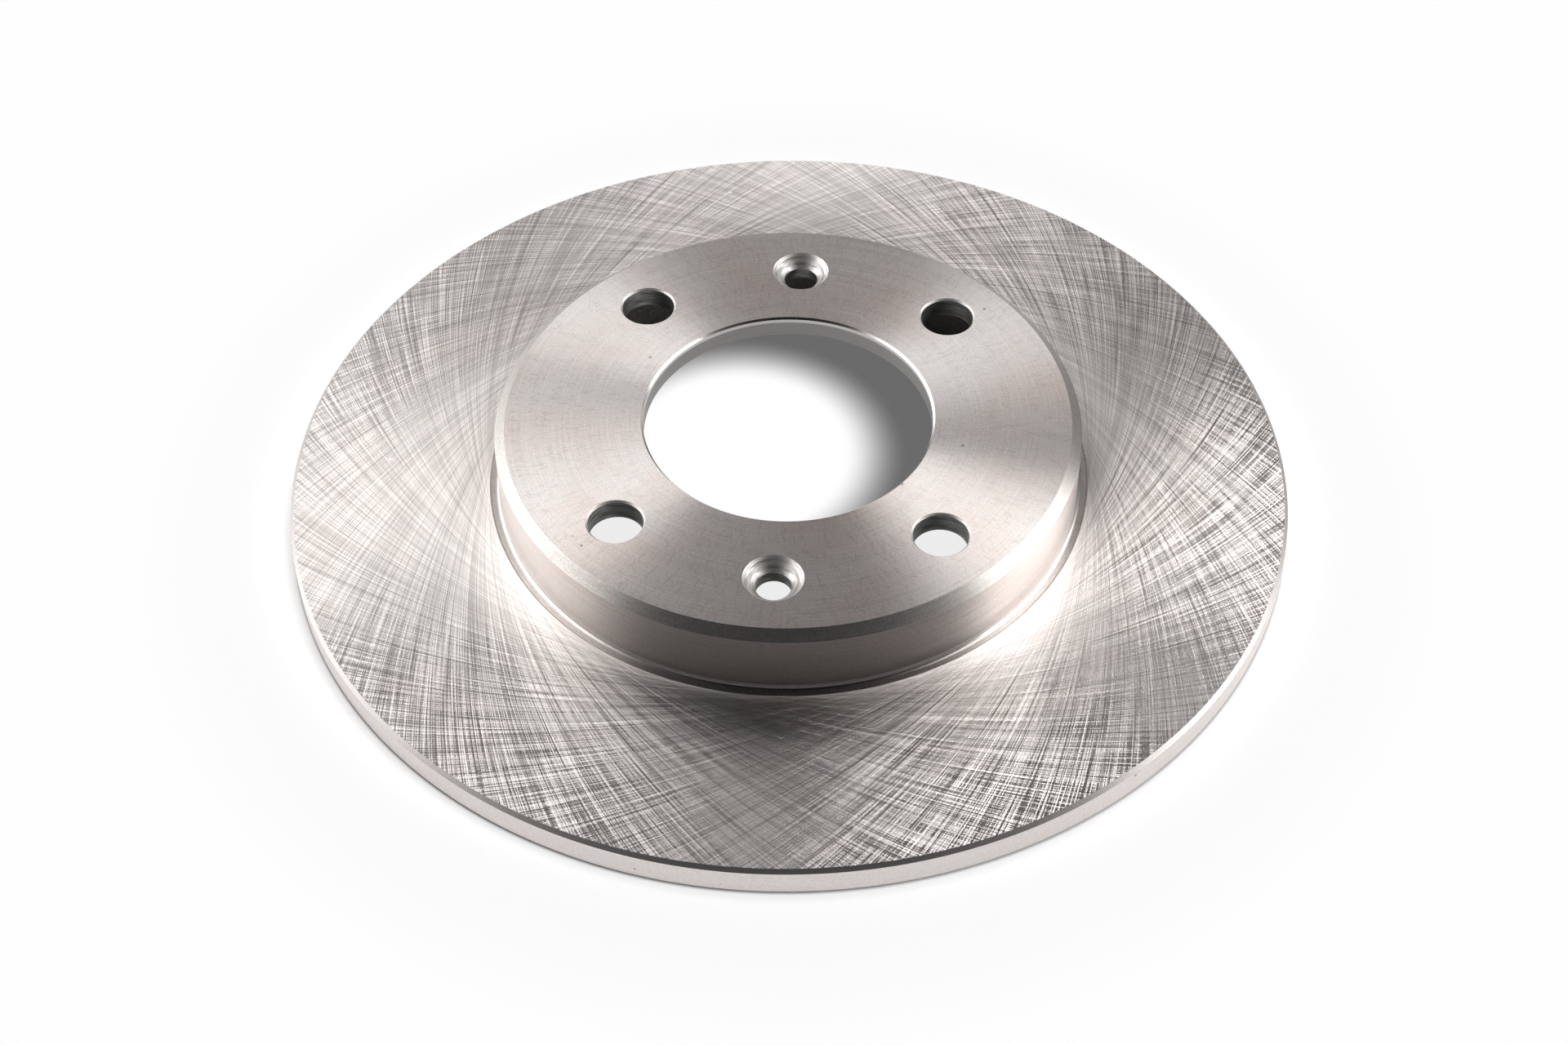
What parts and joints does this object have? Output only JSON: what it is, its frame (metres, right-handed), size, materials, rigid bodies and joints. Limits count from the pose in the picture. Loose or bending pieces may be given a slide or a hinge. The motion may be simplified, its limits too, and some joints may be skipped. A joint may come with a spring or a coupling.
{
  "type": "brake disc",
  "caption": "Solid top-hat shaped brake disc: flat friction ring, raised hat with wheel-bolt holes, countersunk locating-screw holes and a large centre bore.",
  "frame": {"origin": "centre of the inboard friction face, on the disc's axis; the disc lies on Z = 0", "axes": "+Z along the disc's axis, out of the hat towards the wheel; the locating screws lie on the Y axis and the wheel bolts on the diagonals"},
  "size_m": [0.247, 0.247, 0.0258],
  "materials": {
    "machined_iron": "bare grey cast iron, turned on the hat and cross-ground on the friction faces; as cast inside the hat"
  },
  "bodies": {
    "root": {"brake_disc": "machined_iron"}
  },
  "joints": []
}
